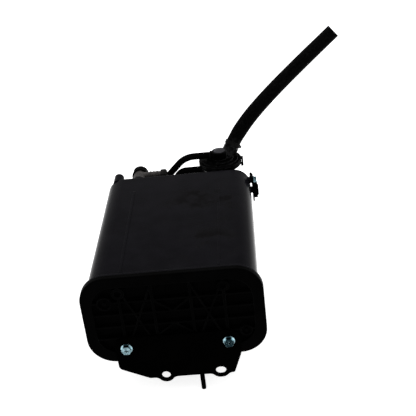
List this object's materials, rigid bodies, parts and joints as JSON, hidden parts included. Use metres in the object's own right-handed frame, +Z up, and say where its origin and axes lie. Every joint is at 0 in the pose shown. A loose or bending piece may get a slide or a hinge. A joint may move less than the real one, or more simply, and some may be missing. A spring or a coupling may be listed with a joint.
{
  "type": "charcoal canister",
  "caption": "Black moulded fuel vapour canister with a ribbed end cover, a steel mounting bracket, a round diaphragm valve and hoses; it stores vapour in carbon until the engine draws it off.",
  "frame": {"origin": "centre of the bracket's round bolt hole, at the bracket's front face", "axes": "+X across the canister towards the valve's side, +Y along the canister from the end cover to the ports, +Z up through the upper broad face"},
  "size_m": [0.3339, 0.4341, 0.2791],
  "materials": {
    "housing_plastic": "moulded black, fine satin",
    "cover_plastic": "moulded black, fine satin",
    "bracket_paint": "black coating on steel",
    "zinc_steel": "bright zinc plating",
    "insert_brass": "turned",
    "carbon": "granular activated carbon",
    "filter_felt": "needled felt",
    "grid_plastic": "moulded dark grey",
    "spring_steel": "drawn wire",
    "fitting_plastic": "grainy grey-brown",
    "cap_rubber": "matt black",
    "valve_plastic": "moulded black, satin",
    "valve_cap_plastic": "moulded grey",
    "diaphragm_rubber": "matt black",
    "hose_rubber": "smooth black",
    "clamp_steel": "phosphated spring steel",
    "clip_plastic": "moulded black"
  },
  "bodies": {
    "root": {"housing": "housing_plastic", "end_cover": "cover_plastic", "mount_bracket": "bracket_paint", "bracket_screws": "zinc_steel", "screw_inserts": "insert_brass", "main_carbon_bed": "carbon", "buffer_carbon_bed": "carbon", "main_port_filter": "filter_felt", "buffer_port_filter": "filter_felt", "main_cover_filter": "filter_felt", "buffer_cover_filter": "filter_felt", "main_grid_plate": "grid_plastic", "buffer_grid_plate": "grid_plastic", "grid_springs": "spring_steel", "purge_fitting": "fitting_plastic", "purge_cap": "cap_rubber", "service_cap": "cap_rubber", "valve_base": "valve_plastic", "valve_seal": "diaphragm_rubber", "valve_diaphragm": "diaphragm_rubber", "diaphragm_plate": "spring_steel", "valve_spring": "spring_steel", "valve_cover": "valve_plastic", "valve_cap": "valve_cap_plastic", "signal_hose": "hose_rubber", "loop_hose": "hose_rubber", "vent_hose": "hose_rubber", "vent_hose_clamp": "clamp_steel", "side_strap": "bracket_paint", "strap_screw": "zinc_steel", "line_clip": "clip_plastic"}
  },
  "joints": []
}
